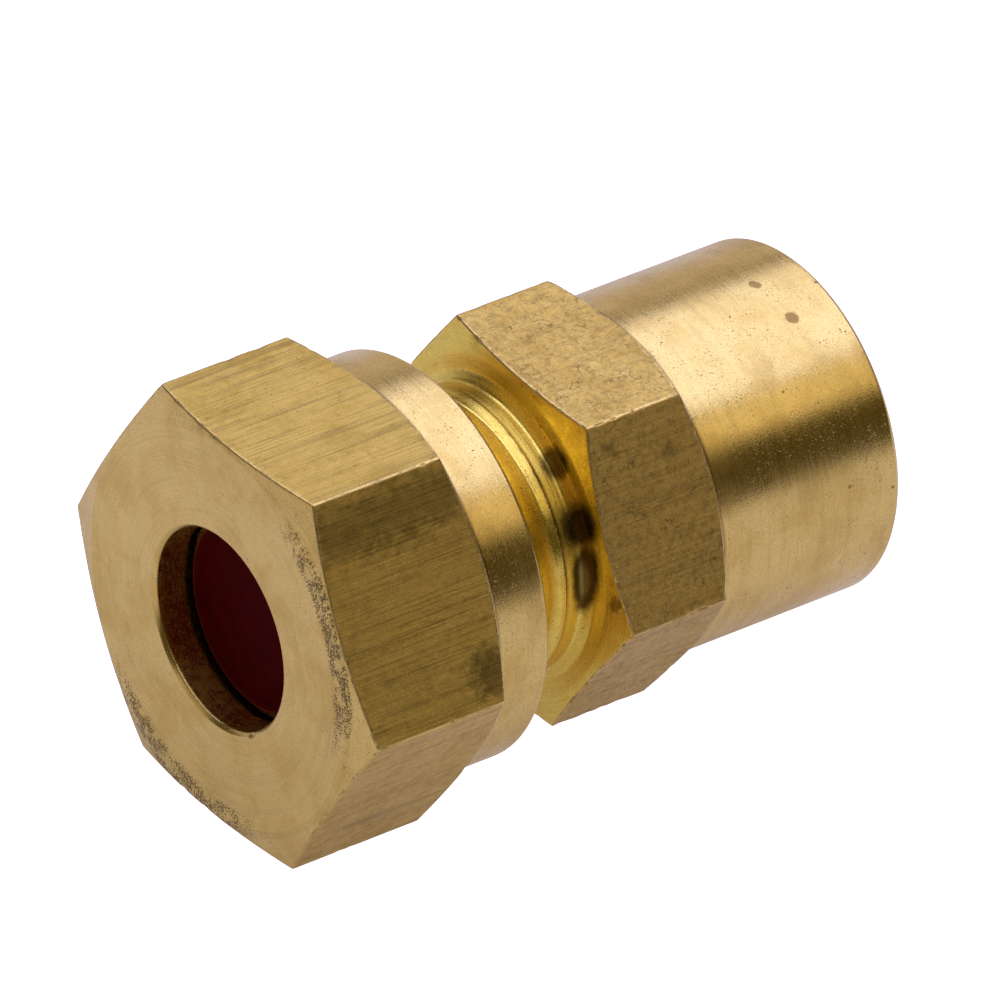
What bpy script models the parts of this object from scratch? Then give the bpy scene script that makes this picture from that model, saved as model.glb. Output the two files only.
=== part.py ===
"""Straight brass compression adapter, 10 mm tube to G1/4 female thread.

Four separate pieces: the body, the compression nut, the olive inside the nut and the plastic
transit plug that stands in for the tube. The fitting lies along X on the nut's lower flat, at z = 0.
The tube goes in at -X and the threaded pipe at +X. Sizes are in millimetres. A station is a
distance along the axis from the nut's outer face, and a ring is one turn of points around it.
"""
import math
from collections import namedtuple

import bmesh
import bpy
from mathutils import Vector

MM = 0.001
COLUMNS = 48
BLANK_TURN = 0.1

TUBE_DIAMETER = 10.0
OVERALL_LENGTH = 34.2
NUT_ACROSS_FLATS = 21.0
BODY_ACROSS_FLATS = 18.0
BODY_ROLL = 3.6

NUT_FACE_RADIUS = 10.2
NUT_FRONT_CORNER = 0.57
NUT_BACK_CORNER = 8.0
NUT_HEX_END = 8.95
NUT_LENGTH = 12.1
COLLAR_RADIUS = 10.3
NUT_BORE_RADIUS = TUBE_DIAMETER / 2 + 0.12
NUT_BORE_LENGTH = 1.8
NUT_SEAT_LENGTH = 1.8
NUT_RELIEF_RADIUS = 7.75
NUT_RELIEF_END = 5.3
NUT_MOUTH_CHAMFER = 0.2
NUT_THREAD_CHAMFER = 0.5
NUT_RELIEF_STEP = 0.15
NUT_RELIEF_CORNER = 0.4
EDGE_CHAMFER = 0.25

BODY_START = 7.0
BODY_MOUTH_RADIUS = 6.3
BODY_CONE_LENGTH = 3.0
BODY_LEAD_IN = 0.1
THREAD_END = 15.2
NECK_STEP = 0.1
NECK_END = 16.2
NECK_RADIUS = 7.25
SHOULDER_RADIUS = 7.85
BODY_HEX_START = 16.58
BODY_FACE_RADIUS = 8.63
BODY_FRONT_CORNER = 17.06
BODY_BACK_CORNER = 22.6
BODY_HEX_END = 23.38
SOCKET_RADIUS = 8.94
TUBE_SOCKET_RADIUS = TUBE_DIAMETER / 2 + 0.1
TUBE_STOP = 15.6
WATERWAY_RADIUS = 4.0

COMPRESSION_PITCH = 1.5
COMPRESSION_CREST = 7.4
COMPRESSION_DEPTH = 0.85
THREAD_CLEARANCE = 0.2
COMPRESSION_FLANK = 30.0
MALE_THREAD_START = BODY_START + 0.95 - 0.9 * COMPRESSION_PITCH
FEMALE_THREAD_START = MALE_THREAD_START - 1.5 * COMPRESSION_PITCH
PIPE_PITCH = 1.337
PIPE_MAJOR = 6.58
PIPE_MINOR = 5.72
PIPE_FLANK = 27.5
PIPE_THREAD_DEPTH = 12.0
PIPE_THREAD_LEAD = 0.85 * PIPE_PITCH
PIPE_DRILL_DEPTH = 13.0
PIPE_DRILL_POINT = 0.9
PIPE_MOUTH_WIDENING = 0.4
PIPE_MOUTH_DEPTH = 0.5

OLIVE_START = 2.6
OLIVE_LENGTH = 5.6
OLIVE_BORE_RADIUS = TUBE_DIAMETER / 2 + 0.15
OLIVE_END_RADIUS = 5.45
OLIVE_RADIUS = 6.25
OLIVE_FRONT_TAPER = 1.8
OLIVE_BACK_TAPER = 2.0

PLUG_START = 2.08
PLUG_LENGTH = 9.0
PLUG_RADIUS = TUBE_DIAMETER / 2 - 0.05
PLUG_EDGE = 0.2
PLUG_LEAD_LENGTH = 1.2
PLUG_LEAD_DEPTH = 0.6

SHARP_EDGE_ANGLE = 12.0

BRASS = (0.72, 0.52, 0.24)
OLIVE_BRASS = (0.78, 0.60, 0.30)
RED_PLASTIC = (0.30, 0.01, 0.015)

# tip and foot are the radii of the ridge's flats, and low and high are the radii that the thread
# fades into at its two ends. start is the station of a ridge's near edge where the angle is zero.
Thread = namedtuple("Thread", "pitch start tip foot tip_width flank low high")


def on_axis(station):
    """World point, in metres, on the fitting's axis."""
    return Vector((station - OVERALL_LENGTH / 2, 0.0, NUT_ACROSS_FLATS / 2)) * MM


def around_axis(station, radius, angle):
    return on_axis(station) + Vector((0.0, radius * math.cos(angle), radius * math.sin(angle))) * MM


def clear_scene():
    for old in list(bpy.data.objects):
        bpy.data.objects.remove(old, do_unlink=True)


def make_material(name, colour, metallic, roughness):
    material = bpy.data.materials.new(name)
    material.use_nodes = True
    shader = material.node_tree.nodes["Principled BSDF"]
    shader.inputs["Base Color"].default_value = (*colour, 1.0)
    shader.inputs["Metallic"].default_value = metallic
    shader.inputs["Roughness"].default_value = roughness
    return material


def plain_band(mesh, first, second):
    """Quads between two rings."""
    count = len(first)
    for i in range(count):
        j = (i + 1) % count
        mesh.faces.new((first[i], first[j], second[j], second[i]))


def thread_profile(thread, index):
    """Place along the helix, in turns, and radius of one of the four corners of each thread turn."""
    turn, corner = divmod(index, 4)
    flank_width = abs(thread.tip - thread.foot) * math.tan(math.radians(thread.flank))
    foot_start = thread.tip_width + flank_width
    along = (0.0, thread.tip_width, foot_start, thread.pitch - flank_width)[corner]
    radius = (thread.tip, thread.tip, thread.foot, thread.foot)[corner]
    return turn + along / thread.pitch, radius


def faded(radius, turns_in, length, thread):
    """Thread radius, eased out of and into the plain surface over the first and last half turns."""
    into = min(1.0, max(0.0, 1.0 - 2.0 * (turns_in - 1.0)))
    out = min(1.0, max(0.0, 1.0 - 2.0 * (length - turns_in)))
    radius += (thread.low - radius) * into
    return radius + (thread.high - radius) * out


def squeezed(turns_in, length):
    """Place in turns, with the blank turn at each end of the helix squeezed close to the thread."""
    inside = min(max(turns_in, 1.0), length)
    return inside + BLANK_TURN * (turns_in - inside)


def thread_band(mesh, low, high, high_station, angles, thread):
    """Helical thread between two rings. A turn's last column meets the next turn's first column."""
    phase = angles[0] / (2 * math.pi)
    room = (high_station - thread.start) / thread.pitch - phase - 1.5 * BLANK_TURN
    last = 0
    while thread_profile(thread, last + 1)[0] < room:
        last += 1
    length = thread_profile(thread, last)[0]
    grid = []
    for column, angle in enumerate(angles):
        points = []
        for index in range(last + 1):
            along, radius = thread_profile(thread, index)
            turns_in = along + column / len(angles)
            radius = faded(radius, turns_in, length, thread)
            station = thread.start + thread.pitch * (squeezed(turns_in, length) + phase)
            points.append(mesh.verts.new(around_axis(station, radius, angle)))
        grid.append(points)

    for left, right in zip(grid, grid[1:]):
        for i in range(last):
            mesh.faces.new((left[i], right[i], right[i + 1], left[i + 1]))
    first, final = grid[0], grid[-1]
    for i in range(last - 4):
        mesh.faces.new((final[i], first[i + 4], first[i + 5], final[i + 1]))
    for i in range(len(angles) - 1):
        mesh.faces.new((low[i], low[i + 1], grid[i + 1][0], grid[i][0]))
        mesh.faces.new((grid[i][last], grid[i + 1][last], high[i + 1], high[i]))
    mesh.faces.new((low[-1], low[0], *first[:5], final[0]))
    mesh.faces.new((*reversed(final[last - 4:]), first[last], high[0], high[-1]))


def closed_section(outline, roll=0.0, threads=None):
    """Surface whose section is the closed outline, a list of (station, radius).

    Each of the two may be a number or a function of the angle. threads holds, for the ring that it
    starts from, the thread that takes the place of the plain band to the next ring.
    """
    angles = [math.radians(roll) + 2 * math.pi * i / COLUMNS for i in range(COLUMNS)]
    mesh = bmesh.new()
    rings = []
    for station, radius in outline:
        ring = []
        for angle in angles:
            here = station(angle) if callable(station) else station
            out = radius(angle) if callable(radius) else radius
            ring.append(mesh.verts.new(around_axis(here, out, angle)))
        rings.append(ring)
    for i in range(len(rings)):
        j = (i + 1) % len(rings)
        thread = (threads or {}).get(i)
        if thread:
            low, high = sorted((i, j), key=lambda ring: outline[ring][0])
            thread_band(mesh, rings[low], rings[high], outline[high][0], angles, thread)
        else:
            plain_band(mesh, rings[i], rings[j])
    return mesh


def solid_bar(outline):
    """Solid of revolution that runs from one flat end to the other."""
    angles = [2 * math.pi * i / COLUMNS for i in range(COLUMNS)]
    mesh = bmesh.new()
    rings = [[mesh.verts.new(around_axis(*point, angle)) for angle in angles] for point in outline]
    for first, second in zip(rings, rings[1:]):
        plain_band(mesh, first, second)
    mesh.faces.new(rings[0])
    mesh.faces.new(rings[-1])
    return mesh


def hexagon_radius(across_flats, roll):
    """Function that gives the hexagon's radius at an angle, with its first corner at the roll."""
    def radius(angle):
        from_middle = (angle - math.radians(roll) + 1e-9) % (math.pi / 3) - math.pi / 6
        return across_flats / 2 / math.cos(from_middle)
    return radius


def turned_corners(radius, corner_radius, corner_station, end_station, end_radius):
    """Station where a cone, turned on the hexagon's end, meets its sides."""
    slope = (end_station - corner_station) / (corner_radius - end_radius)
    return lambda angle: corner_station + slope * (corner_radius - radius(angle))


def add_solid(name, mesh, material):
    """Make a named object of the mesh, with its origin on the fitting's axis at the nut's face."""
    origin = on_axis(0.0)
    bmesh.ops.translate(mesh, verts=mesh.verts, vec=-origin)
    bmesh.ops.recalc_face_normals(mesh, faces=mesh.faces)
    data = bpy.data.meshes.new(name)
    mesh.to_mesh(data)
    mesh.free()
    data.materials.append(material)
    data.shade_smooth()
    data.set_sharp_from_angle(angle=math.radians(SHARP_EDGE_ANGLE))
    solid = bpy.data.objects.new(name, data)
    solid.location = origin
    bpy.context.collection.objects.link(solid)
    return solid


def compression_thread(tip, foot, ridge_start, low, high):
    """Half of the nut's thread pair. Its ridges are thinned so that the two run with clearance."""
    flank = math.radians(COMPRESSION_FLANK)
    middle_width = COMPRESSION_PITCH / 2 - THREAD_CLEARANCE / math.cos(flank)
    tip_width = middle_width - (COMPRESSION_DEPTH - THREAD_CLEARANCE) * math.tan(flank)
    return Thread(COMPRESSION_PITCH, ridge_start, tip, foot, tip_width, COMPRESSION_FLANK, low, high)


def make_body(brass):
    end = OVERALL_LENGTH
    hexagon = hexagon_radius(BODY_ACROSS_FLATS, BODY_ROLL)
    corner = BODY_ACROSS_FLATS / 2 / math.cos(math.pi / 6)
    front = turned_corners(hexagon, corner, BODY_FRONT_CORNER, BODY_HEX_START, BODY_FACE_RADIUS)
    back = turned_corners(hexagon, corner, BODY_BACK_CORNER, BODY_HEX_END, SOCKET_RADIUS)
    foot = COMPRESSION_CREST - COMPRESSION_DEPTH
    outside = [
        (BODY_START, BODY_MOUTH_RADIUS),
        (BODY_START, foot - BODY_LEAD_IN),
        (BODY_START + BODY_LEAD_IN, foot),
        (THREAD_END, COMPRESSION_CREST),
        (THREAD_END + NECK_STEP, NECK_RADIUS),
        (NECK_END, NECK_RADIUS),
        (BODY_HEX_START, SHOULDER_RADIUS),
        (BODY_HEX_START, BODY_FACE_RADIUS),
        (front, hexagon),
        (back, hexagon),
        (BODY_HEX_END, SOCKET_RADIUS),
        (end - EDGE_CHAMFER, SOCKET_RADIUS),
        (end, SOCKET_RADIUS - EDGE_CHAMFER),
    ]
    drill_end = end - PIPE_DRILL_DEPTH
    inside = [
        (end, PIPE_MAJOR + PIPE_MOUTH_WIDENING),
        (end - PIPE_MOUTH_DEPTH, PIPE_MAJOR),
        (end - PIPE_THREAD_DEPTH, PIPE_MINOR),
        (drill_end, PIPE_MINOR),
        (drill_end - PIPE_DRILL_POINT, WATERWAY_RADIUS),
        (TUBE_STOP, WATERWAY_RADIUS),
        (TUBE_STOP, TUBE_SOCKET_RADIUS),
        (BODY_START + BODY_CONE_LENGTH, TUBE_SOCKET_RADIUS),
    ]
    flank_width = (PIPE_MAJOR - PIPE_MINOR) * math.tan(math.radians(PIPE_FLANK))
    pipe = Thread(
        PIPE_PITCH, end - PIPE_THREAD_DEPTH - PIPE_THREAD_LEAD, PIPE_MINOR, PIPE_MAJOR,
        PIPE_PITCH / 2 - flank_width, PIPE_FLANK, PIPE_MINOR, PIPE_MAJOR,
    )
    male = compression_thread(COMPRESSION_CREST, foot, MALE_THREAD_START, foot, COMPRESSION_CREST)
    threads = {2: male, len(outside) + 1: pipe}
    return add_solid("fitting_body", closed_section(outside + inside, BODY_ROLL, threads), brass)


def make_nut(brass):
    hexagon = hexagon_radius(NUT_ACROSS_FLATS, 0)
    corner = NUT_ACROSS_FLATS / 2 / math.cos(math.pi / 6)
    tip = COMPRESSION_CREST - COMPRESSION_DEPTH + THREAD_CLEARANCE
    foot = COMPRESSION_CREST + THREAD_CLEARANCE
    seat_end = NUT_BORE_LENGTH + NUT_SEAT_LENGTH
    outline = [
        (0.0, NUT_BORE_RADIUS + NUT_MOUTH_CHAMFER),
        (0.0, NUT_FACE_RADIUS),
        (turned_corners(hexagon, corner, NUT_FRONT_CORNER, 0.0, NUT_FACE_RADIUS), hexagon),
        (turned_corners(hexagon, corner, NUT_BACK_CORNER, NUT_HEX_END, COLLAR_RADIUS), hexagon),
        (NUT_HEX_END, COLLAR_RADIUS),
        (NUT_LENGTH - EDGE_CHAMFER, COLLAR_RADIUS),
        (NUT_LENGTH, COLLAR_RADIUS - EDGE_CHAMFER),
        (NUT_LENGTH, foot + NUT_THREAD_CHAMFER),
        (NUT_LENGTH - NUT_THREAD_CHAMFER, foot),
        (NUT_RELIEF_END, foot),
        (NUT_RELIEF_END - NUT_RELIEF_STEP, NUT_RELIEF_RADIUS),
        (seat_end + NUT_RELIEF_CORNER, NUT_RELIEF_RADIUS),
        (seat_end, NUT_BORE_RADIUS + NUT_SEAT_LENGTH),
        (NUT_BORE_LENGTH, NUT_BORE_RADIUS),
        (NUT_MOUTH_CHAMFER, NUT_BORE_RADIUS),
    ]
    thread = compression_thread(tip, foot, FEMALE_THREAD_START, foot, foot)
    return add_solid("compression_nut", closed_section(outline, 0.0, {8: thread}), brass)


def make_olive(brass):
    end = OLIVE_START + OLIVE_LENGTH
    outline = [
        (OLIVE_START, OLIVE_END_RADIUS),
        (OLIVE_START + OLIVE_FRONT_TAPER, OLIVE_RADIUS),
        (end - OLIVE_BACK_TAPER, OLIVE_RADIUS),
        (end, OLIVE_END_RADIUS),
        (end, OLIVE_BORE_RADIUS),
        (OLIVE_START, OLIVE_BORE_RADIUS),
    ]
    return add_solid("olive", closed_section(outline), brass)


def make_plug(plastic):
    end = PLUG_START + PLUG_LENGTH
    outline = [
        (PLUG_START, PLUG_RADIUS - PLUG_EDGE),
        (PLUG_START + 0.3 * PLUG_EDGE, PLUG_RADIUS - 0.3 * PLUG_EDGE),
        (PLUG_START + PLUG_EDGE, PLUG_RADIUS),
        (end - PLUG_LEAD_LENGTH, PLUG_RADIUS),
        (end, PLUG_RADIUS - PLUG_LEAD_DEPTH),
    ]
    return add_solid("transit_plug", solid_bar(outline), plastic)


def build():
    clear_scene()
    make_body(make_material("body_brass", BRASS, 1.0, 0.32))
    make_nut(make_material("nut_brass", BRASS, 1.0, 0.32))
    make_olive(make_material("olive_brass", OLIVE_BRASS, 1.0, 0.28))
    make_plug(make_material("plug_plastic", RED_PLASTIC, 0.0, 0.42))


build()
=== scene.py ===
"""Looks of a straight brass compression adapter, 10 mm tube to G1/4 female thread.

Each of the four CAD nodes is stood for by a piece of the same shape with rounded edges, finer
threads, small nicks and a machined finish. Lengths are in millimetres until a piece is placed. A
station is a distance along the fitting's axis from the nut's outer face.
"""
import math
import random
from collections import namedtuple

import bmesh
import bpy
import numpy as np
from mathutils import Matrix, Vector


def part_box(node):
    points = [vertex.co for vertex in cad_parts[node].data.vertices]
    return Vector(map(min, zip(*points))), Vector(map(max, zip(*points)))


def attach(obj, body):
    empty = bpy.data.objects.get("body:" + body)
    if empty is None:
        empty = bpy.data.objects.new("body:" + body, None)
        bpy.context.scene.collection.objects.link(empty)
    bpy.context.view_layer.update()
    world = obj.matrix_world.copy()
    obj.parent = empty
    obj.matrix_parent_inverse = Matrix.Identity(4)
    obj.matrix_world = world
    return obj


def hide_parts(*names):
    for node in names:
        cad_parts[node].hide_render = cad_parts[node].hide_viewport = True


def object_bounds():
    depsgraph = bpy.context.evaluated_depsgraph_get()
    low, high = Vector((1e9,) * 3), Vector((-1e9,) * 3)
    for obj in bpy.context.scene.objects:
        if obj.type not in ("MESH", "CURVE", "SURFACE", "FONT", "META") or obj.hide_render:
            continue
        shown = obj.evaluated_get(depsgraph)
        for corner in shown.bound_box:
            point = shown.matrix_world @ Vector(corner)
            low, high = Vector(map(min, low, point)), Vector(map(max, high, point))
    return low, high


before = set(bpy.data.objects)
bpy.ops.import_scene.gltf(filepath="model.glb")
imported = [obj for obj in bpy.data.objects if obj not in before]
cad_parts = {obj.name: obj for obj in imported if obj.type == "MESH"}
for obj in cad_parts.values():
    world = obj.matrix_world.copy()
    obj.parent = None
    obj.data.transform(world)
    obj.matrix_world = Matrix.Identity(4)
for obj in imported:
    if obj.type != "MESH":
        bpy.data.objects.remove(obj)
CAD_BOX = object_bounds()
MM = 0.001
NUT_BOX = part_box("compression_nut")
AXIS_HEIGHT = (NUT_BOX[0].z + NUT_BOX[1].z) / 2
NUT_FACE_X = CAD_BOX[0].x

# Sizes in millimetres, as in the CAD's solids. Radii are from the axis.
CHAMFER = 0.25
NUT_APOTHEM, BODY_APOTHEM = 10.5, 9.0
NUT_CORNER = NUT_APOTHEM / math.cos(math.pi / 6)
BODY_CORNER = BODY_APOTHEM / math.cos(math.pi / 6)
BODY_ROLL = math.radians(3.6)
EDGE_FILLET = 0.15

NUT_HEX_START, NUT_HEX_END, NUT_END = 0.57, 8.0, 12.1
NUT_FACE_RADIUS, NUT_BORE, BORE_CHAMFER = 10.2, 5.12, 0.2
COLLAR_START, COLLAR_RADIUS = 8.95, 10.3
SEAT_START, SEAT_END, SEAT_RADIUS = 1.8, 3.6, 6.92
RELIEF_START, RELIEF_END, RELIEF_RADIUS = 4.0, 5.15, 7.75
NUT_THREAD_END = 5.3

BODY_START, MOUTH_RADIUS, MOUTH_CONE_END = 7.0, 6.3, 10.0
THREAD_END, NECK_START, NECK_END, NECK_RADIUS = 15.2, 15.3, 16.2, 7.25
SHOULDER, SHOULDER_FOOT, SHOULDER_RADIUS = 16.58, 7.83, 8.63
BODY_HEX_START, BODY_HEX_END = 17.06, 22.6
SOCKET_START, SOCKET_RADIUS, END = 23.38, 8.94, 34.2
TUBE_STOP, TUBE_SOCKET, WATERWAY = 15.6, 5.1, 4.0

OLIVE_START, OLIVE_SHOULDERS, OLIVE_END = 2.6, (4.4, 6.2), 8.2
OLIVE_BORE, OLIVE_LIP, OLIVE_RADIUS = 5.15, 5.45, 6.25
PLUG_START, PLUG_TAPER, PLUG_END, PLUG_RADIUS = 2.08, 9.88, 11.08, 4.95
PIN = 0.02  # radius of the small disc in the middle of each of the plug's ends

# The compression thread of the body and the nut, and the pipe thread in the socket.
CREST, ROOT, NUT_CREST, NUT_ROOT = 7.4, 6.55, 6.75, 7.6
PITCH, DEPTH, CLEARANCE, FLANK = 1.5, 0.85, 0.2, 30
MALE_START = 7.95 - 0.9 * PITCH
NUT_THREAD_START = MALE_START - 1.5 * PITCH
PIPE_MINOR, PIPE_MAJOR, PIPE_PITCH, PIPE_FLANK = 5.72, 6.58, 1.337, 27.5
PIPE_DEPTH, PIPE_RELIEF, PIPE_FLOOR = 12, 13, 13.9  # depths from the socket's end

# How the surfaces are made.
BLANK_TURN = 0.1  # what each of a thread's faded end turns is squeezed to, in turns
PER_TURN = 8  # points of a thread's profile in each turn
ROUND_OFF = 0.05  # rounding of a thread's corners
ARC_STEPS = (0.0, 0.25, 0.5, 0.75, 1.0)
RING_GUARD = 0.14  # distance of a band's first and last rings from its corners
CREST_WEAR = 0.6
EDGE_WEAR_WIDTH = 0.16

# tip and foot are the radii of the ridge's flats; low and high are what the thread fades into.
Thread = namedtuple("Thread", "pitch start tip foot tip_width flank low high")
# A corner of a section: where it is, its rounding, rings up to the next corner, wear and finish.
# Wear is 1 where a convex edge is rubbed bright, and below 0 where a concave one holds grime; on
# the plug the same number places a painted highlight on its rim.
Corner = namedtuple("Corner", "station radius fillet split wear finish")
TURNED, DRAWN, CUT = range(3)


def corner(station, radius, fillet=0.0, split=1, wear=0.0, finish=TURNED):
    return Corner(station, radius, fillet, split, wear, finish)


# ---------------------------------------------------------------- surfaces

def column_angles(roll):
    """Angles of the columns, close together where the hexagon's corners are."""
    near = [0.0, 0.12, 0.24, 0.36, 0.9, 1.6, 2.5]  # degrees from a corner
    half = near + list(np.linspace(3.6, 28.9, 22))
    sector = [-30.0] + [-a for a in reversed(half[1:])] + half
    return np.array([roll + math.radians(60 * k + a) for k in range(6) for a in sector])


def hexagon(apothem, roll, fillet, angles):
    """Radius of a hexagon with rounded corners, the first corner at the roll."""
    off = (angles - roll + math.pi / 6) % (math.pi / 3) - math.pi / 6
    flat = apothem / np.cos(math.pi / 6 - np.abs(off))
    centre = (apothem - fillet) / math.cos(math.pi / 6)
    rounded = centre * np.cos(off) + np.sqrt(np.maximum(fillet**2 - (centre * np.sin(off)) ** 2, 0))
    limit = math.atan2(fillet / 2, centre + fillet * math.cos(math.pi / 6))
    return np.where(np.abs(off) <= limit, rounded, flat)


def edge_wear(apothem, roll, angles):
    """1 on the hexagon's edges and 0 a little way from them."""
    off = np.abs((angles - roll + math.pi / 6) % (math.pi / 3) - math.pi / 6)
    return np.clip(1.15 - off * apothem / EDGE_WEAR_WIDTH, 0.0, 1.0)


def thread_profile(thread, index):
    """Place along the helix, in turns, and radius of a point of the thread's profile.

    A turn has four corners, each rounded off by a point before it and a point after it: the start
    and the end of the ridge's flat tip, then the start and the end of the flat foot.
    """
    turn, point = divmod(index, PER_TURN)
    which, after = divmod(point, 2)
    flank_width = abs(thread.tip - thread.foot) * math.tan(math.radians(thread.flank))
    foot_start = thread.tip_width + flank_width
    corners = (0.0, thread.tip_width, foot_start, thread.pitch - flank_width)
    level, other = (thread.tip, thread.foot) if which < 2 else (thread.foot, thread.tip)
    along = corners[which] + (ROUND_OFF if after else -ROUND_OFF)
    on_flank = after == which % 2
    radius = level + (other - level) / flank_width * ROUND_OFF if on_flank else level
    return turn + along / thread.pitch, radius


class Surface:
    """A closed surface of rings about the axis, with a thread here and there."""

    def __init__(self, roll):
        self.angles = column_angles(roll)
        self.count = len(self.angles)
        self.points, self.wear, self.faces, self.finish = [], [], [], []
        self.total = 0

    def ring(self, station, radius, wear=0.0):
        station = np.broadcast_to(station, self.count)
        radius = np.broadcast_to(radius, self.count)
        cos, sin = np.cos(self.angles), np.sin(self.angles)
        self.points.append(np.stack([station, radius * cos, radius * sin], 1))
        self.wear.append(np.broadcast_to(wear, self.count))
        self.total += self.count
        return np.arange(self.total - self.count, self.total)

    def band(self, first, second, finish):
        quads = np.stack([first, np.roll(first, -1), np.roll(second, -1), second], 1)
        self.faces += quads.tolist()
        self.finish += [finish] * self.count

    def thread(self, low, high, high_station, thread, finish):
        """Helical thread between two rings. A turn's last column meets the next turn's first."""
        turn_of = (self.angles - self.angles[0]) / (2 * math.pi)
        phase = self.angles[0] / (2 * math.pi)
        room = (high_station - thread.start) / thread.pitch - phase - 1.5 * BLANK_TURN
        last = 0
        while thread_profile(thread, last + 1)[0] < room:
            last += 1
        length = thread_profile(thread, last)[0]
        rows = []
        for index in range(last + 1):
            along, radius = thread_profile(thread, index)
            turns_in = along + turn_of
            fade_in = np.clip(1 - 2 * (turns_in - 1), 0, 1)
            fade_out = np.clip(1 - 2 * (length - turns_in), 0, 1)
            level = radius + (thread.low - radius) * fade_in
            level = level + (thread.high - level) * fade_out
            inside = np.clip(turns_in, 1.0, length)
            squeezed = inside + BLANK_TURN * (turns_in - inside)
            on_crest = abs(radius - thread.tip) < 0.06 and thread.tip > thread.foot
            station = thread.start + thread.pitch * (squeezed + phase)
            rows.append(self.ring(station, level, CREST_WEAR if on_crest else 0.0))
        for i in range(last):
            here, after = rows[i], rows[i + 1]
            quads = np.stack([here[:-1], here[1:], after[1:], after[:-1]], 1)
            self.faces += quads.tolist()
            self.finish += [finish] * len(quads)
        first = [int(row[0]) for row in rows]
        final = [int(row[-1]) for row in rows]
        seam = [(final[i], first[i + PER_TURN], first[i + PER_TURN + 1], final[i + 1])
                for i in range(last - PER_TURN)]
        ends = np.stack([low[:-1], low[1:], rows[0][1:], rows[0][:-1]], 1).tolist()
        ends += np.stack([rows[last][:-1], rows[last][1:], high[1:], high[:-1]], 1).tolist()
        ends.append((int(low[-1]), int(low[0]), *first[:PER_TURN + 1], final[0]))
        ends.append((*reversed(final[last - PER_TURN:]), first[last], int(high[0]), int(high[-1])))
        self.faces += seam + ends
        self.finish += [finish] * (len(seam) + len(ends))

    def section(self, corners, threads=None, closed=True):
        """Rings along a polyline of corners, each rounded, with the bands between them split.

        threads says which bands are threaded: it gives a thread for the corner before the band.
        """
        station = np.array([np.broadcast_to(c.station, self.count) for c in corners], float)
        radius = np.array([np.broadcast_to(c.radius, self.count) for c in corners], float)
        spot = np.stack([station, radius], -1)
        arcs = []
        for i, c in enumerate(corners):
            here = spot[i]
            if c.fillet == 0.0 or (not closed and i in (0, len(corners) - 1)):
                arcs.append([here])
                continue
            before, after = spot[i - 1] - here, spot[(i + 1) % len(corners)] - here
            one, two = (np.linalg.norm(v, axis=1, keepdims=True) for v in (before, after))
            reach = np.minimum(c.fillet, 0.4 * np.minimum(one, two))
            start, stop = here + before / one * reach, here + after / two * reach
            arcs.append([(1 - t) ** 2 * start + 2 * t * (1 - t) * here + t * t * stop
                         for t in ARC_STEPS])
        first_ring = last_ring = None
        for i, c in enumerate(corners):
            rings = [self.ring(p[:, 0], p[:, 1], c.wear) for p in arcs[i]]
            if last_ring is not None:
                self.join(last_ring, rings[0], corners[i - 1], i - 1, threads, corners)
            for a, b in zip(rings, rings[1:]):
                self.band(a, b, c.finish)
            first_ring = rings[0] if first_ring is None else first_ring
            last_ring = self.run(arcs[i][-1], arcs, i, c, rings[-1], threads, closed)
        if closed:
            self.join(last_ring, first_ring, corners[-1], len(corners) - 1, threads, corners)
        return first_ring, last_ring

    def run(self, start, arcs, i, c, ring, threads, closed):
        """The rings inside the band after corner i."""
        if c.split == 0 or (threads and i in threads) or (not closed and i == len(arcs) - 1):
            return ring
        stop = arcs[(i + 1) % len(arcs)][0]
        length = float(np.linalg.norm(stop - start, axis=1).max())
        guard = min(RING_GUARD, length / 3) / length
        between = np.linspace(guard, 1 - guard, c.split + 1)[1:-1]
        for t in (guard, *between, 1 - guard):
            point = start + (stop - start) * t
            new = self.ring(point[:, 0], point[:, 1])
            self.band(ring, new, c.finish)
            ring = new
        return ring

    def join(self, ring, following, c, i, threads, corners):
        """Closes the band after corner i, plainly or with its thread."""
        thread = (threads or {}).get(i)
        if not thread:
            self.band(ring, following, c.finish)
            return
        here, there = corners[i].station, corners[(i + 1) % len(corners)].station
        low, high = (ring, following) if here < there else (following, ring)
        self.thread(low, high, max(here, there), thread, c.finish)

    def wear_edges(self, sides, apothem, roll):
        """Wears the hexagon's long edges, on the points that lie on its sides."""
        points, wear = np.concatenate(self.points), np.concatenate(self.wear)
        rings = len(points) // self.count
        from_axis = np.hypot(points[:, 1], points[:, 2])
        on_side = np.isclose(from_axis, np.tile(sides, rings), atol=1e-3)
        edge = np.tile(edge_wear(apothem, roll, self.angles), rings)
        self.wear = [np.where(on_side, np.maximum(wear, edge), wear)]


def nick(points, normals, dirt, centre, width, depth, along=None, stretch=1.0):
    """Presses a small dent into the surface around a point, and marks it as dirty."""
    off = points - np.array(centre)
    if along is not None:
        unit = np.array(along) / np.linalg.norm(along)
        run = off @ unit
        off = off - np.outer(run, unit) * (1 - 1 / stretch)
    near = np.exp(-(off**2).sum(1) / width**2)
    near[near < 0.02] = 0.0
    points -= normals * (near * depth)[:, None]
    np.maximum(dirt, np.clip(near * 1.2, 0, 1), out=dirt)


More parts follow.
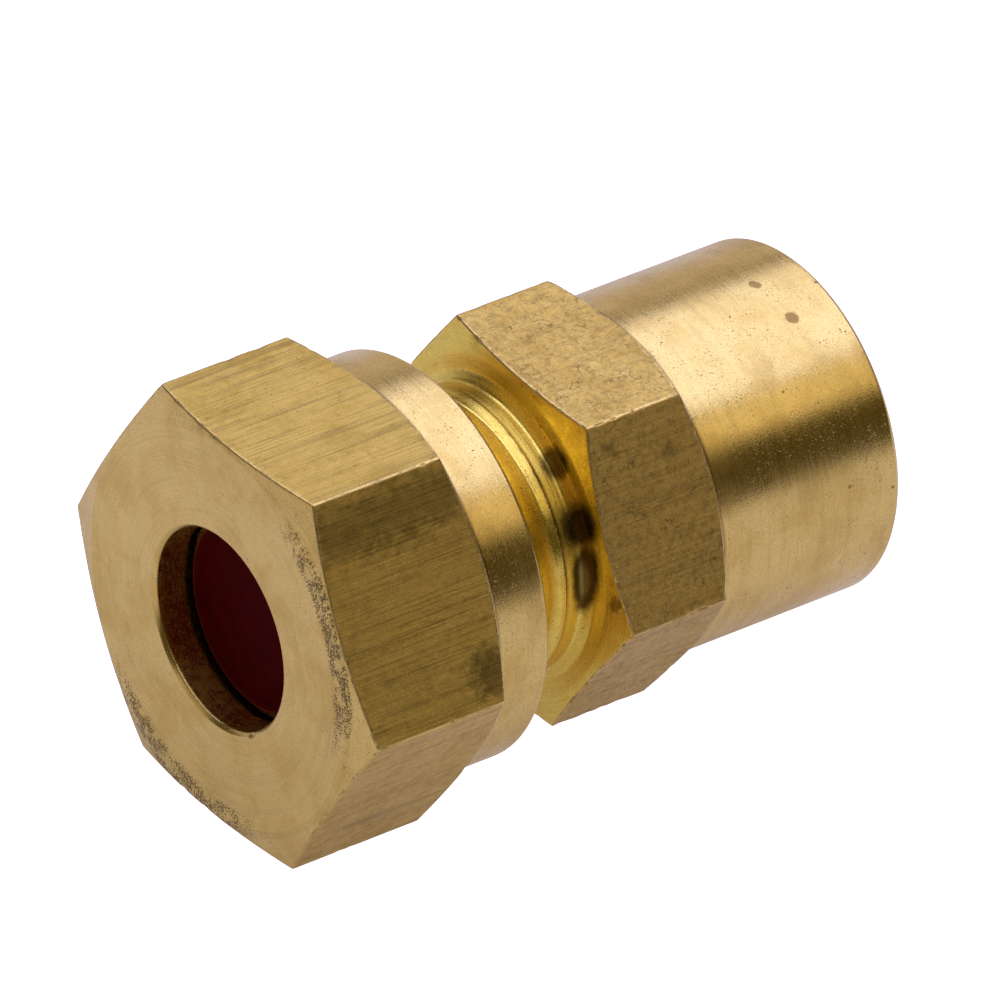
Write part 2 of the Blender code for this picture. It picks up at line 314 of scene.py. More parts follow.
def make_piece(name, surface, materials, nicks, body, node):
    """A smooth-shaded piece whose origin is on the fitting's axis at the nut's face."""
    points = np.concatenate(surface.points)
    wear = np.concatenate(surface.wear)
    lowest, highest = points.min(0), points.max(0)
    data = bpy.data.meshes.new(name)
    data.from_pydata((points * MM).tolist(), [], surface.faces)
    data.polygons.foreach_set("material_index", surface.finish)
    for material in materials:
        data.materials.append(material)
    mesh = bmesh.new()
    mesh.from_mesh(data)
    bmesh.ops.recalc_face_normals(mesh, faces=mesh.faces)
    mesh.to_mesh(data)
    mesh.free()
    normals = np.zeros(len(points) * 3)
    data.vertices.foreach_get("normal", normals)
    dirt = np.zeros(len(points))
    for mark in nicks:
        nick(points, normals.reshape(-1, 3), dirt, **mark)
    points = np.clip(points, lowest, highest)
    data.vertices.foreach_set("co", (points * MM).ravel())
    for key, values in (("wear", wear), ("dirt", dirt)):
        layer = data.attributes.new(key, "FLOAT", "POINT")
        layer.data.foreach_set("value", np.ascontiguousarray(values, np.float32))
    data.shade_smooth()
    data.set_sharp_from_angle(angle=math.radians(50))
    data.update()
    piece = bpy.data.objects.new(name, data)
    piece.location = (NUT_FACE_X, 0.0, AXIS_HEIGHT)
    bpy.context.scene.collection.objects.link(piece)
    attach(piece, body)
    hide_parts(node)
    return piece


def rim_nicks(seed, count, apothem, roll, station_of, widths, depths):
    """Small nicks along the rim where a hexagon's sides meet its end cone."""
    rand = random.Random(seed)
    marks = []
    for _ in range(count):
        angle = rand.uniform(0, 2 * math.pi)
        radius = float(hexagon(apothem, roll, EDGE_FILLET, np.array([angle]))[0])
        centre = (station_of(radius), radius * math.cos(angle), radius * math.sin(angle))
        tangent = (0.0, -math.sin(angle), math.cos(angle))
        marks.append(dict(centre=centre, width=rand.uniform(*widths), depth=rand.uniform(*depths),
                          along=tangent, stretch=rand.uniform(1.0, 2.6)))
    return marks


def edge_nicks(seed, count, corner_radius, roll, stations, widths, depths):
    """Small dings along the six long edges of a hexagon."""
    rand = random.Random(seed)
    marks = []
    for _ in range(count):
        angle = roll + rand.randrange(6) * math.pi / 3
        centre = (rand.uniform(*stations), corner_radius * math.cos(angle),
                  corner_radius * math.sin(angle))
        marks.append(dict(centre=centre, width=rand.uniform(*widths), depth=rand.uniform(*depths),
                          along=(1, 0, 0), stretch=rand.uniform(1.0, 3.0)))
    return marks


def cone(corner_radius, corner_station, end_station, end_radius):
    """Station of a radius on the cone between a hexagon's corners and a circle."""
    slope = (end_station - corner_station) / (corner_radius - end_radius)
    return lambda radius: corner_station + slope * (corner_radius - radius)


def compression_thread(tip, foot, start, low, high):
    middle = PITCH / 2 - CLEARANCE / math.cos(math.radians(FLANK))
    tip_width = middle - (DEPTH - CLEARANCE) * math.tan(math.radians(FLANK))
    return Thread(PITCH, start, tip, foot, tip_width, FLANK, low, high)


def body_surface():
    surface = Surface(BODY_ROLL)
    sides = hexagon(BODY_APOTHEM, BODY_ROLL, EDGE_FILLET, surface.angles)
    front = cone(BODY_CORNER, BODY_HEX_START, SHOULDER, SHOULDER_RADIUS)
    back = cone(BODY_CORNER, BODY_HEX_END, SOCKET_START, SOCKET_RADIUS)
    outside = [
        corner(BODY_START, MOUTH_RADIUS, 0.1, 1, 0.5),
        corner(BODY_START, ROOT - 0.1, 0.0, 0),
        corner(BODY_START + 0.1, ROOT, 0.0, 0, 0, CUT),
        corner(THREAD_END, CREST, 0.06, 1, 0.9, CUT),
        corner(NECK_START, NECK_RADIUS, 0.08, 2, -0.4, CUT),
        corner(NECK_END, NECK_RADIUS, 0.16, 1, 0.0, CUT),
        corner(SHOULDER - 0.02, SHOULDER_FOOT, 0.08, 1, 0.1, CUT),
        corner(SHOULDER, SHOULDER_RADIUS, 0.0, 1, 0.0, CUT),
        corner(front(sides), sides, 0.1, 28, 0.85, DRAWN),
        corner(back(sides), sides, 0.1, 2, 0.85),
        corner(SOCKET_START, SOCKET_RADIUS, 0.12, 8, -0.5),
        corner(END - CHAMFER, SOCKET_RADIUS, 0.1, 1, 0.6),
        corner(END, SOCKET_RADIUS - CHAMFER, 0.1, 2, 0.6),
    ]
    inside = [
        corner(END, PIPE_MAJOR + 0.4, 0.1, 1, 0.5),
        corner(END - 0.5, PIPE_MAJOR, 0.0, 0, 0.0, CUT),
        corner(END - PIPE_DEPTH, PIPE_MINOR, 0.0, 0, 0.0, CUT),
        corner(END - PIPE_RELIEF, PIPE_MINOR, 0.1, 1, -0.4, CUT),
        corner(END - PIPE_FLOOR, WATERWAY, 0.1, 2, 0.0, CUT),
        corner(TUBE_STOP, WATERWAY, 0.1, 2, 0.0, CUT),
        corner(TUBE_STOP, TUBE_SOCKET, 0.1, 3, -0.4, CUT),
        corner(MOUTH_CONE_END, TUBE_SOCKET, 0.1, 3, 0.0),
    ]
    pipe_flank = (PIPE_MAJOR - PIPE_MINOR) * math.tan(math.radians(PIPE_FLANK))
    pipe = Thread(PIPE_PITCH, END - PIPE_DEPTH - 0.85 * PIPE_PITCH, PIPE_MINOR, PIPE_MAJOR,
                  PIPE_PITCH / 2 - pipe_flank, PIPE_FLANK, PIPE_MINOR, PIPE_MAJOR)
    male = compression_thread(CREST, ROOT, MALE_START, ROOT, CREST)
    surface.section(outside + inside, {2: male, len(outside) + 1: pipe})
    surface.wear_edges(sides, BODY_APOTHEM, BODY_ROLL)
    nicks = rim_nicks(5, 30, BODY_APOTHEM, BODY_ROLL, front, (0.08, 0.14), (0.02, 0.06))
    nicks += rim_nicks(8, 30, BODY_APOTHEM, BODY_ROLL, back, (0.08, 0.14), (0.02, 0.06))
    nicks += edge_nicks(3, 22, BODY_CORNER, BODY_ROLL, (17.2, 22.4), (0.07, 0.14), (0.015, 0.045))
    return surface, nicks


def nut_surface():
    surface = Surface(0.0)
    sides = hexagon(NUT_APOTHEM, 0.0, EDGE_FILLET, surface.angles)
    front = cone(NUT_CORNER, NUT_HEX_START, 0.0, NUT_FACE_RADIUS)
    back = cone(NUT_CORNER, NUT_HEX_END, COLLAR_START, COLLAR_RADIUS)
    corners = [
        corner(0.0, NUT_BORE + BORE_CHAMFER, 0.08, 22, 0.5),
        corner(0.0, NUT_FACE_RADIUS, 0.06, 2, 0.1),
        corner(front(sides), sides, 0.1, 50, 0.85, DRAWN),
        corner(back(sides), sides, 0.1, 2, 0.85),
        corner(COLLAR_START, COLLAR_RADIUS, 0.1, 16, -0.5),
        corner(NUT_END - CHAMFER, COLLAR_RADIUS, 0.1, 1, 0.7),
        corner(NUT_END, COLLAR_RADIUS - CHAMFER, 0.1, 1, 0.7),
        corner(NUT_END, NUT_ROOT + 0.5, 0.1, 1, 0.5),
        corner(NUT_END - 0.5, NUT_ROOT, 0.0, 0, 0, CUT),
        corner(NUT_THREAD_END, NUT_ROOT, 0.0, 1, 0, CUT),
        corner(RELIEF_END, RELIEF_RADIUS, 0.05, 2, 0, CUT),
        corner(RELIEF_START, RELIEF_RADIUS, 0.1, 1, 0, CUT),
        corner(SEAT_END, SEAT_RADIUS, 0.1, 2, 0, CUT),
        corner(SEAT_START, NUT_BORE, 0.08, 2, 0.3, CUT),
        corner(BORE_CHAMFER, NUT_BORE, 0.08, 1, 0.5),
    ]
    thread = compression_thread(NUT_CREST, NUT_ROOT, NUT_THREAD_START, NUT_ROOT, NUT_ROOT)
    surface.section(corners, {8: thread})
    surface.wear_edges(sides, NUT_APOTHEM, 0.0)
    nicks = rim_nicks(21, 12, NUT_APOTHEM, 0.0, front, (0.08, 0.16), (0.02, 0.06))
    nicks += rim_nicks(22, 10, NUT_APOTHEM, 0.0, back, (0.08, 0.16), (0.02, 0.05))
    nicks += edge_nicks(23, 10, NUT_CORNER, 0.0, (0.8, 7.8), (0.08, 0.18), (0.02, 0.06))
    nicks.append(dict(centre=(0.0, -3.05, -4.3), width=0.16, depth=0.1))  # at the bore's edge
    return surface, nicks


def olive_surface():
    surface = Surface(0.0)
    surface.section([
        corner(OLIVE_START, OLIVE_LIP, 0.1, 8, 0.4),
        corner(OLIVE_SHOULDERS[0], OLIVE_RADIUS, 0.5, 6, 0.1),
        corner(OLIVE_SHOULDERS[1], OLIVE_RADIUS, 0.5, 8, 0.1),
        corner(OLIVE_END, OLIVE_LIP, 0.1, 1, 0.4),
        corner(OLIVE_END, OLIVE_BORE, 0.06, 8, 0.3),
        corner(OLIVE_START, OLIVE_BORE, 0.06, 1, 0.3),
    ])
    return surface


def plug_surface():
    """The plug has a shallow dished end inside a rounded rim."""
    surface = Surface(0.0)
    # The values on the rim's corners place the plug's painted highlight there.
    first, last = surface.section([
        corner(PLUG_START + 0.06, PIN, 0.0, 4),
        corner(PLUG_START + 0.06, 4.3, 0.3, 2),
        corner(PLUG_START, 4.6, 0.1, 1, 0.6),
        corner(PLUG_START, 4.8, 0.1, 0, 1.0),
        corner(PLUG_START + 0.16, PLUG_RADIUS, 0.08, 6, 0.6),
        corner(PLUG_TAPER, PLUG_RADIUS, 0.3, 3),
        corner(PLUG_END, 4.35, 0.2, 5, 0.4),
        corner(PLUG_END, PIN, 0.0, 0),
    ], closed=False)
    surface.faces += [first.tolist(), last.tolist()[::-1]]
    surface.finish += [TURNED, TURNED]
    return surface


# ---------------------------------------------------------------- finishes

class Graph:
    """Short names for the shader nodes that the finishes are made of."""

    def __init__(self, name):
        self.material = bpy.data.materials.new(name)
        self.material.use_nodes = True
        self.nodes = self.material.node_tree.nodes
        self.links = self.material.node_tree.links
        self.shader = self.nodes["Principled BSDF"]

    def plug(self, socket, value):
        if isinstance(value, bpy.types.NodeSocket):
            self.links.new(value, socket)
        else:
            socket.default_value = value

    def math(self, operation, a, b=0.0, clamp=False):
        node = self.nodes.new("ShaderNodeMath")
        node.operation = operation
        node.use_clamp = clamp
        self.plug(node.inputs[0], a)
        self.plug(node.inputs[1], b)
        return node.outputs[0]

    def add(self, a, b):
        return self.math("ADD", a, b)

    def times(self, a, b):
        return self.math("MULTIPLY", a, b)

    def millimetres(self):
        place = self.nodes.new("ShaderNodeTexCoord").outputs["Object"]
        node = self.nodes.new("ShaderNodeVectorMath")
        node.operation = "SCALE"
        self.links.new(place, node.inputs[0])
        node.inputs["Scale"].default_value = 1 / MM
        return node.outputs[0]

    def split(self, vector):
        node = self.nodes.new("ShaderNodeSeparateXYZ")
        self.links.new(vector, node.inputs[0])
        return node.outputs

    def join(self, x, y, z):
        node = self.nodes.new("ShaderNodeCombineXYZ")
        for socket, value in zip(node.inputs, (x, y, z)):
            self.plug(socket, value)
        return node.outputs[0]

    def distance(self, point, centre, squash=(1, 1, 1)):
        off = self.nodes.new("ShaderNodeVectorMath")
        off.operation = "SUBTRACT"
        self.links.new(point, off.inputs[0])
        off.inputs[1].default_value = centre
        scaled = self.nodes.new("ShaderNodeVectorMath")
        scaled.operation = "MULTIPLY"
        self.links.new(off.outputs[0], scaled.inputs[0])
        scaled.inputs[1].default_value = squash
        node = self.nodes.new("ShaderNodeVectorMath")
        node.operation = "LENGTH"
        self.links.new(scaled.outputs[0], node.inputs[0])
        return node.outputs["Value"]

    def noise(self, vector, scale, detail=2.0, roughness=0.5, distortion=0.0):
        node = self.nodes.new("ShaderNodeTexNoise")
        self.links.new(vector, node.inputs["Vector"])
        node.inputs["Scale"].default_value = scale
        node.inputs["Detail"].default_value = detail
        node.inputs["Roughness"].default_value = roughness
        node.inputs["Distortion"].default_value = distortion
        return node.outputs["Fac"]

    def ramp(self, value, start, stop, low=0.0, high=1.0):
        node = self.nodes.new("ShaderNodeMapRange")
        node.interpolation_type = "SMOOTHSTEP"
        self.plug(node.inputs["Value"], value)
        node.inputs["From Min"].default_value = start
        node.inputs["From Max"].default_value = stop
        node.inputs["To Min"].default_value = low
        node.inputs["To Max"].default_value = high
        return node.outputs["Result"]

    def mix(self, factor, a, b):
        node = self.nodes.new("ShaderNodeMix")
        node.data_type = "RGBA"
        self.plug(node.inputs["Factor"], factor)
        self.plug(node.inputs["A"], a if not isinstance(a, tuple) else (*a, 1.0))
        self.plug(node.inputs["B"], b if not isinstance(b, tuple) else (*b, 1.0))
        return node.outputs["Result"]

    def attribute(self, name):
        node = self.nodes.new("ShaderNodeAttribute")
        node.attribute_name = name
        return node.outputs["Fac"]

    def bump(self, height, distance, normal=None):
        node = self.nodes.new("ShaderNodeBump")
        self.plug(node.inputs["Height"], height)
        node.inputs["Distance"].default_value = distance * MM
        if normal is not None:
            self.links.new(normal, node.inputs["Normal"])
        return node.outputs["Normal"]


# The look of a cut. fine and broad are the noises of its lines: how close they are along the axis
# and across it, their detail and their roughness. shares are the parts that the large clouds and
# the small mottle have in the tarnish. The bumps are in millimetres.
Look = namedtuple("Look", "fine broad shares line_dark broad_dark sandy scuff roughness uneven "
                          "anisotropic rotation line_bump broad_bump")
TURNED_LOOK = Look(
    fine=(11.0, 11.0, 2.0, 0.6), broad=(1.7, 1.7, 2.0, 0.5), shares=(0.9, 0.1),
    line_dark=0.12, broad_dark=0.08, sandy=0.2, scuff=0.6, roughness=0.24, uneven=0.08,
    anisotropic=0.7, rotation=0.25, line_bump=0.008, broad_bump=0.01)
DRAWN_LOOK = Look(
    fine=(0.16, 13.0, 3.0, 0.65), broad=(0.1, 1.9, 3.0, 0.6), shares=(0.55, 0.45),
    line_dark=0.34, broad_dark=0.26, sandy=0.24, scuff=0.3, roughness=0.36, uneven=0.2,
    anisotropic=0.3, rotation=0.0, line_bump=0.012, broad_bump=0.006)
CUT_LOOK = TURNED_LOOK._replace(
    shares=(0.55, 0.45), roughness=0.26, uneven=0.2, anisotropic=0.3, line_bump=0.006)
LOOKS = {TURNED: TURNED_LOOK, DRAWN: DRAWN_LOOK, CUT: CUT_LOOK}

# soft is the share of the size that is fully tinted, and ragged is how uneven the outline is.
TintPatch = namedtuple("TintPatch", "centre squash size soft strength tint ragged")
# Specks in a band between two radii, thickest at a point and gone at a distance from it.
Speckles = namedtuple("Speckles", "inner outer middle reach")

LINE_BROWN, SCRAPE_DARK, SCRAPE_BRIGHT = (0.16, 0.1, 0.035), (0.1, 0.06, 0.02), (0.9, 0.68, 0.3)
RUBBED_BROWN, GRIME_BROWN, WORN_BRIGHT = (0.14, 0.09, 0.03), (0.12, 0.06, 0.02), (0.96, 0.70, 0.28)
SPECK_DARK = (0.085, 0.045, 0.018)


def scraped(g, place, colour, amount):
    """Short curled scratches, dark and bright, in patches, over a rubbed surface."""
    wander = g.noise(place, 0.9, 2.0, 0.6)
    curl = g.ramp(g.math("ABSOLUTE", g.add(wander, -0.5)), 0.004, 0.014, 1.0, 0.0)
    patch = g.ramp(g.noise(place, 0.8, 1.0), 0.5, 0.58)
    bright = g.ramp(g.math("ABSOLUTE", g.add(wander, -0.42)), 0.003, 0.01, 1.0, 0.0)
    colour = g.mix(g.times(g.times(curl, patch), 0.55 * amount), colour, SCRAPE_DARK)
    colour = g.mix(g.times(g.times(bright, patch), 0.35 * amount), colour, SCRAPE_BRIGHT)
    rim_highlight = g.ramp(g.noise(place, 3.2, 5.0, 0.75), 0.46, 0.62, 0.0, 0.34 * amount)
    return g.mix(rim_highlight, colour, RUBBED_BROWN)


def speck_mask(g, place, radius, seed, speckles):
    """Scattered dark dots, and denser ones in the bands of speckles."""
    dots = g.noise(place, 6.5, 1.5, 0.6)
    small = g.noise(place, 11.0, 2.0, 0.6)
    spread = g.noise(place, 0.75 + seed * 0.02, 2.0, 0.5)
    sparse = g.times(g.ramp(dots, 0.70, 0.735), g.ramp(spread, 0.5, 0.62))
    fly = g.times(g.ramp(small, 0.65, 0.71), g.ramp(spread, 0.38, 0.6, 0.0, 0.6))
    specks = g.math("MAXIMUM", sparse, fly)
    for band in speckles:
        ring = g.times(g.ramp(radius, *band.inner), g.ramp(radius, *band.outer))
        where = g.ramp(g.distance(place, band.middle), band.reach, band.reach * 0.35)
        uneven = g.ramp(g.noise(place, 1.1, 3.0, 0.6), 0.32, 0.6)
        cluster = g.times(g.times(ring, where), uneven)
        dense = g.noise(place, 9.5, 2.0, 0.6)
        hit = g.ramp(g.add(dense, g.times(cluster, 0.17)), 0.59, 0.67)
        specks = g.math("MAXIMUM", specks, g.times(hit, g.ramp(cluster, 0.02, 0.5, 0.0, 0.85)))
    return specks


def brass(name, finish, clean, dull, tint_patches=(), speckles=(), seed=0.0, lines=1.0, scrapes=0.0):
    """Machined brass: lines along the cut, cloudy tarnish, dark specks and bright worn edges."""
    g = Graph(name)
    look = LOOKS[finish]
    place = g.millimetres()
    x, y, z = g.split(place)
    radius = g.distance(place, (0, 0, 0), (0, 1, 1))
    slow = g.times(g.add(y, z), 0.25)

    def line_noise(along, across, detail, roughness):
        if finish == DRAWN:
            vector = g.join(g.times(x, along), g.times(y, across), g.times(z, across))
        else:
            vector = g.join(g.times(x, along), g.times(radius, across), slow)
        return g.noise(vector, 1.0, detail, roughness)

    fine, broad = line_noise(*look.fine), line_noise(*look.broad)
    cloud = g.noise(place, 0.32 + seed * 0.01, 4.0, 0.6, 0.4)
    mottle = g.noise(place, 1.9, 4.0, 0.65)
    grain = g.noise(place, 14.0, 2.0, 0.6)
    wear = g.ramp(g.attribute("wear"), 0.5, 1.0)
    grime = g.ramp(g.math("MULTIPLY", g.attribute("wear"), -1.0), 0.0, 0.6)

    clouded = g.add(g.times(cloud, look.shares[0]), g.times(mottle, look.shares[1]))
    tarnish = g.ramp(clouded, 0.38, 0.68)
    colour = g.mix(tarnish, clean, dull)
    line_dark = g.ramp(fine, 0.28, 0.56, look.line_dark * lines, 0.0)
    broad_dark = g.ramp(broad, 0.3, 0.5, look.broad_dark * lines, 0.0)
    sandy = g.ramp(grain, 0.38, 0.58, look.sandy, 0.0)
    colour = g.mix(g.add(g.add(line_dark, broad_dark), sandy), colour, LINE_BROWN)
    if scrapes:
        colour = scraped(g, place, colour, scrapes)

    specks = speck_mask(g, place, radius, seed, speckles)
    dark = g.math("MAXIMUM", specks, g.ramp(g.attribute("dirt"), 0.35, 0.95, 0.0, 0.6))
    on_rim = g.ramp(g.attribute("wear"), 0.74, 0.84)
    scuff = g.times(on_rim, g.ramp(g.noise(place, 1.3, 4.0, 0.7), 0.5, 0.58))
    dark = g.math("MAXIMUM", dark, g.times(scuff, look.scuff))
    # Soft tinted patches: stains, and behind the neck painted reflections.
    for tint_patch in tint_patches:
        outline = g.times(g.add(mottle, -0.5), tint_patch.size * tint_patch.ragged)
        shape = g.add(g.distance(place, tint_patch.centre, tint_patch.squash), outline)
        inside = g.ramp(shape, tint_patch.size, tint_patch.size * tint_patch.soft, 0.0, tint_patch.strength)
        colour = g.mix(inside, colour, tint_patch.tint)
    colour = g.mix(g.times(grime, 0.5), colour, GRIME_BROWN)
    colour = g.mix(g.times(wear, 0.4), colour, WORN_BRIGHT)
    colour = g.mix(g.times(dark, 0.85), colour, SPECK_DARK)
    g.plug(g.shader.inputs["Base Color"], colour)
    g.plug(g.shader.inputs["Metallic"], g.ramp(dark, 0.0, 1.0, 1.0, 0.25))

    rough = g.add(g.times(g.add(fine, -0.5), 0.18), g.times(g.add(mottle, -0.5), look.uneven))
    stained = g.add(g.times(tarnish, 0.08), g.times(dark, 0.4))
    rough = g.add(g.add(rough, look.roughness), stained)
    rough = g.add(rough, g.times(wear, -0.1))
    g.plug(g.shader.inputs["Roughness"], g.math("MAXIMUM", rough, 0.12))
    g.shader.inputs["Anisotropic"].default_value = look.anisotropic
    g.shader.inputs["Anisotropic Rotation"].default_value = look.rotation
    tangent = g.nodes.new("ShaderNodeTangent")
    tangent.direction_type = "RADIAL"
    tangent.axis = "X"
    g.links.new(tangent.outputs[0], g.shader.inputs["Tangent"])

    cut_lines = g.bump(fine, look.line_bump)
    waves = g.bump(broad, look.broad_bump, cut_lines)
    bumps = g.bump(grain, 0.006, waves)
    pitted = g.bump(g.times(dark, -1.0), 0.02, bumps)
    g.links.new(pitted, g.shader.inputs["Normal"])
    return g.material


def red_plastic():
    """Satin moulded plastic, faintly mottled, its red darkened as painted shade, with a painted
    highlight on the rim.
    """
    # The two dark reds are painted shade for the inside of the nut's bore; the paler red is a
    # painted highlight on the rim.
    shaded_red, shaded_red_mottle, rim_highlight = (0.06, 0.0005, 0.001), (0.08, 0.0007, 0.0015), (0.30, 0.05, 0.03)
    g = Graph("plug_plastic_satin")
    place = g.millimetres()
    mottle = g.noise(place, 0.9, 4.0, 0.6)
    grain = g.noise(place, 9.0, 3.0, 0.6)
    colour = g.mix(g.ramp(mottle, 0.35, 0.65), shaded_red, shaded_red_mottle)
    # Paler red on the rim: a painted highlight.
    colour = g.mix(g.ramp(g.attribute("wear"), 0.5, 1.0, 0.0, 0.6), colour, rim_highlight)
    g.plug(g.shader.inputs["Base Color"], colour)
    g.plug(g.shader.inputs["Roughness"], g.add(0.34, g.times(grain, 0.2)))
    g.shader.inputs["Specular IOR Level"].default_value = 0.01
    g.links.new(g.bump(grain, 0.006), g.shader.inputs["Normal"])
    return g.material


# ---------------------------------------------------------------- the pieces

CLEAN, DULL = (0.91, 0.65, 0.205), (0.81, 0.55, 0.15)
NUT_CLEAN, NUT_DULL = (0.80, 0.53, 0.11), (0.64, 0.41, 0.068)
BODY_CLEAN, BODY_DULL = (0.79, 0.52, 0.12), (0.64, 0.40, 0.08)
OLIVE_CLEAN, OLIVE_DULL = (0.92, 0.66, 0.22), (0.84, 0.57, 0.16)
GOLD, DEEP_GOLD = (1.0, 0.75, 0.14), (0.98, 0.68, 0.10)
BROWN, GREEN_BROWN = (0.26, 0.14, 0.035), (0.06, 0.045, 0.008)
# The first colour here is a painted dark reflection, used behind the neck.
DARK_REFLECTION, OLIVE_GREEN = (0.05, 0.02, 0.004), (0.22, 0.18, 0.05)
ROUND, LONG = (1, 1, 1), (0.12, 1, 1)

socket_spots = [
    TintPatch((31.07, -0.63, 8.92), ROUND, 0.36, 0.7, 0.8, BROWN, 1.5),
    TintPatch((31.38, -3.19, 8.35), ROUND, 0.4, 0.7, 0.85, BROWN, 1.5),
    TintPatch((33.86, -1.81, 8.75), ROUND, 0.13, 0.6, 0.8, BROWN, 1.5),
    TintPatch((28.8, -6.01, 6.62), ROUND, 0.1, 0.6, 0.8, BROWN, 1.5),
    TintPatch((31.1, -8.75, 1.85), ROUND, 0.12, 0.6, 0.8, BROWN, 1.5),
    TintPatch((33.68, -8.89, 0.98), ROUND, 0.11, 0.6, 0.8, BROWN, 1.5),
]
flat_spots = [
    TintPatch((18.1, -6.1, 7.3), ROUND, 0.7, 0.3, 0.5, GREEN_BROWN, 1.5),
    TintPatch((21.4, -6.7, 6.4), ROUND, 0.6, 0.3, 0.45, GREEN_BROWN, 1.5),
]
# The three dark ovals, two of them with olive-green rims, are painted reflections of the dark
# surroundings in the concave fillet and step behind the neck; the last entry is a green-brown spot
# on the front cone.
neck_reflections_and_spot = [
    TintPatch((16.35, -4.4, 6.15), (1.1, 0.8, 0.8), 0.85, 0.5, 0.85, DARK_REFLECTION, 0.4),
    TintPatch((16.25, -4.2, 6.3), (2.2, 0.9, 0.9), 0.5, 0.3, 0.7, OLIVE_GREEN, 0.6),
    TintPatch((16.45, -6.6, 3.8), (0.85, 0.7, 0.62), 1.0, 0.4, 0.94, DARK_REFLECTION, 0.3),
    TintPatch((16.3, -7.3, 1.2), (1.05, 1, 0.36), 0.85, 0.6, 0.93, DARK_REFLECTION, 0.3),
    TintPatch((16.25, -7.3, 1.15), (2.0, 1, 0.42), 0.55, 0.45, 0.9, OLIVE_GREEN, 0.4),
    TintPatch((16.75, -9.2, 0.65), (1, 1, 0.6), 0.42, 0.5, 0.6, GREEN_BROWN, 1.5),
]
nut_spots = [
    TintPatch((7.6, -11.3, 1.5), ROUND, 1.8, 0.25, 0.6, GREEN_BROWN, 1.5),
    TintPatch((4.5, -6.9, 9.0), LONG, 2.3, 0.2, 0.5, GREEN_BROWN, 1.2),
]
face_speckles = [
    Speckles((9.0, 9.6), (10.8, 10.3), (0.0, -8.4, 4.4), 7.5),
    Speckles((9.0, 9.8), (11.3, 10.9), (0.0, 2.5, -9.8), 8.0),
]

body_finishes = [
    brass("body_turned", TURNED, CLEAN, DULL, socket_spots),
    brass("body_drawn", DRAWN, BODY_CLEAN, BODY_DULL, flat_spots, seed=3.0, lines=0.55,
          scrapes=1.0),
    brass("body_cut", CUT, GOLD, DEEP_GOLD, neck_reflections_and_spot, seed=5.0),
]
nut_finishes = [
    brass("nut_turned", TURNED, CLEAN, DULL, speckles=face_speckles, seed=7.0),
    brass("nut_drawn", DRAWN, NUT_CLEAN, NUT_DULL, nut_spots, seed=9.0),
    brass("nut_cut", CUT, GOLD, DEEP_GOLD, seed=11.0),
]
olive_finish = brass("olive_turned", TURNED, OLIVE_CLEAN, OLIVE_DULL, seed=13.0)

surface, nicks = body_surface()
make_piece("body_machined", surface, body_finishes, nicks, "body", "fitting_body")
surface, nicks = nut_surface()
make_piece("nut_machined", surface, nut_finishes, nicks, "nut", "compression_nut")
make_piece("olive_turned", olive_surface(), [olive_finish], [], "olive_carrier", "olive")
make_piece("plug_moulded", plug_surface(), [red_plastic()], [], "plug", "transit_plug")


# ---------------------------------------------------------------- studio

def studio_floor():
    """A pale board under the fitting, lit brightly enough to read as white."""
    mesh = bpy.data.meshes.new("studio_floor")
    count, reach = 96, 0.9
    turns = [2 * math.pi * i / count for i in range(count)]
    points = [(reach * math.cos(angle), reach * math.sin(angle), 0) for angle in turns]
    mesh.from_pydata(points, [], [list(range(count))])
    floor = bpy.data.objects.new("studio_floor", mesh)
    floor.location.z = CAD_BOX[0].z - 0.00002
    g = Graph("pale_board")
    place = g.millimetres()
    tint = g.noise(place, 0.02, 2.0)
    g.plug(g.shader.inputs["Base Color"], g.mix(tint, (0.35, 0.34, 0.33), (0.37, 0.36, 0.35)))
    g.shader.inputs["Roughness"].default_value = 0.9
    g.shader.inputs["Specular IOR Level"].default_value = 0.1
    seen = g.nodes.new("ShaderNodeLightPath").outputs["Is Camera Ray"]
    glow = g.nodes.new("ShaderNodeEmission")
    glow.inputs["Color"].default_value = (1.0, 0.95, 1.1, 1)
    g.plug(glow.inputs["Strength"], g.add(0.36, g.times(seen, 0.95)))
    both = g.nodes.new("ShaderNodeAddShader")
    g.links.new(g.shader.outputs[0], both.inputs[0])
    g.links.new(glow.outputs[0], both.inputs[1])
    g.links.new(both.outputs[0], g.nodes["Material Output"].inputs["Surface"])
    mesh.materials.append(g.material)
    bpy.context.scene.collection.objects.link(floor)


def softbox(name, place, aim, width, height, radiance, colour):
    """A rectangular soft light. Its radiance is the brightness of its face."""
    light = bpy.data.lights.new(name, "AREA")
    light.shape = "RECTANGLE"
    light.size, light.size_y = width, height
    light.energy = radiance * math.pi * width * height
    light.color = colour
    holder = bpy.data.objects.new(name, light)
    holder.location = place
    direction = Vector(aim) - Vector(place)
    holder.rotation_euler = direction.to_track_quat("-Z", "Y").to_euler()
    holder.visible_camera = False
    bpy.context.scene.collection.objects.link(holder)


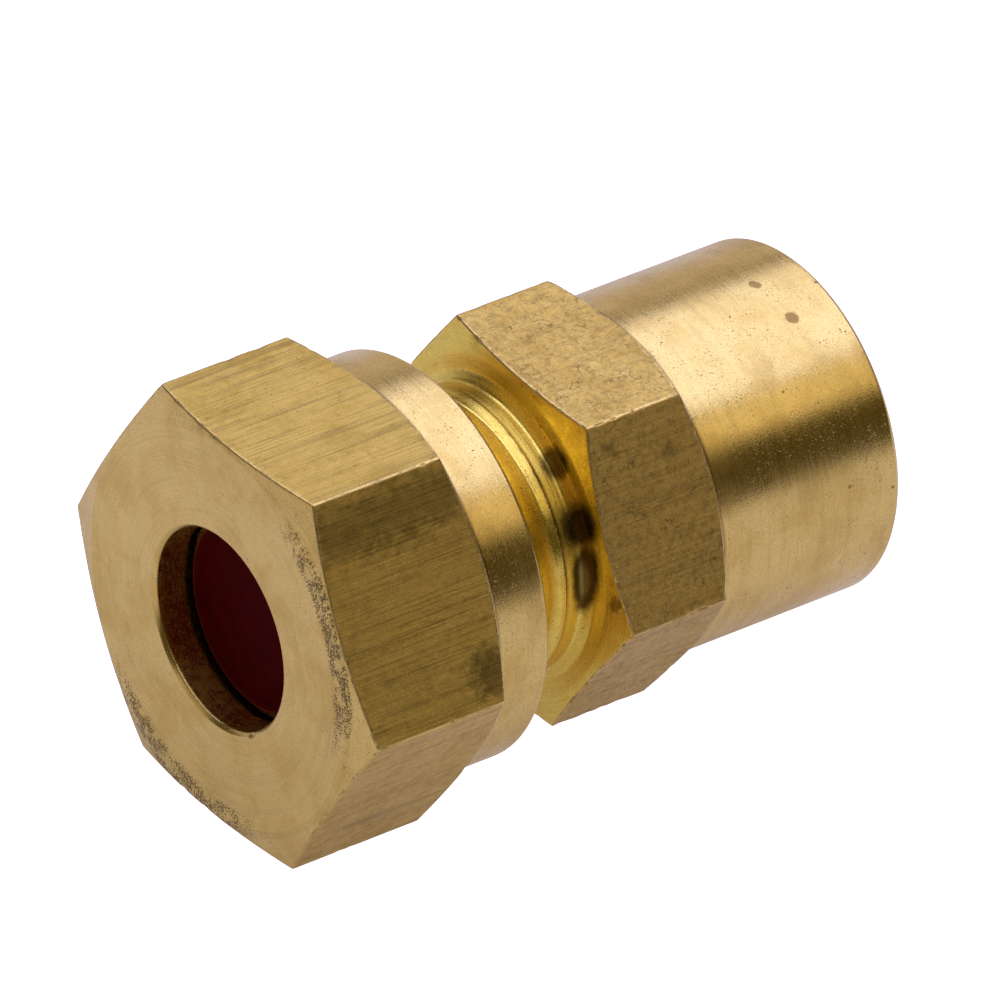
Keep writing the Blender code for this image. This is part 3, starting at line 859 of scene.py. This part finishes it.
def studio_light():
    world = bpy.data.worlds.new("studio")
    world.use_nodes = True
    background = world.node_tree.nodes["Background"]
    background.inputs["Strength"].default_value = 1.0
    tree = world.node_tree
    seen = tree.nodes.new("ShaderNodeLightPath").outputs["Is Camera Ray"]
    pick = tree.nodes.new("ShaderNodeMix")
    pick.data_type = "RGBA"
    tree.links.new(seen, pick.inputs["Factor"])
    pick.inputs["A"].default_value = (0.07, 0.056, 0.02, 1)
    pick.inputs["B"].default_value = (1.3, 1.3, 1.3, 1)
    tree.links.new(pick.outputs["Result"], background.inputs["Color"])
    bpy.context.scene.world = world
    middle = (0.0, 0.0, AXIS_HEIGHT)
    softbox("top_light", (0.36, 0.14, 0.5), (0.36, 0.14, 0.0), 1.1, 0.8, 1.46, (0.89, 0.94, 1.6))
    softbox("front_light", (0.42, -0.47, 0.5), (0.42, -0.47, 0.0), 1.0, 0.38, 0.86,
            (1.0, 0.87, 0.72))
    softbox("back_light", (0.5, 1.3, 0.35), middle, 2.2, 0.7, 0.52, (1.0, 0.93, 1.1))
    softbox("left_light", (-1.2, 0.3, 0.5), middle, 1.0, 0.9, 0.5, (1.0, 0.88, 0.95))


def camera():
    """Long lens, above and in front of the nut, with the fitting running away to the right."""
    azimuth, elevation, roll = math.radians(-38.89), math.radians(34.29), math.radians(-3.56)
    level = Vector((math.cos(azimuth), math.sin(azimuth), 0.0))
    back = Vector((math.sin(azimuth) * math.cos(elevation),
                   -math.cos(azimuth) * math.cos(elevation), math.sin(elevation)))
    upright = back.cross(level)
    right = math.cos(roll) * level - math.sin(roll) * upright
    up = math.sin(roll) * level + math.cos(roll) * upright
    data = bpy.data.cameras.new("camera")
    data.sensor_width = 36.0
    data.lens = 720.0
    data.clip_start, data.clip_end = 0.05, 20.0
    distance, aim_station, aim_height = 0.9572, 16.80 * MM, 1.09 * MM
    aim = Vector((NUT_FACE_X + aim_station, 0.0, AXIS_HEIGHT)) + aim_height * up
    turned = Matrix((right, up, back)).transposed().to_4x4()
    turned.translation = aim + back * distance
    holder = bpy.data.objects.new("camera", data)
    bpy.context.scene.collection.objects.link(holder)
    holder.matrix_world = turned
    bpy.context.scene.camera = holder


studio_floor()
studio_light()
camera()
bpy.context.scene.view_settings.view_transform = "Standard"
bpy.context.scene.view_settings.look = "None"

bpy.context.view_layer.update()
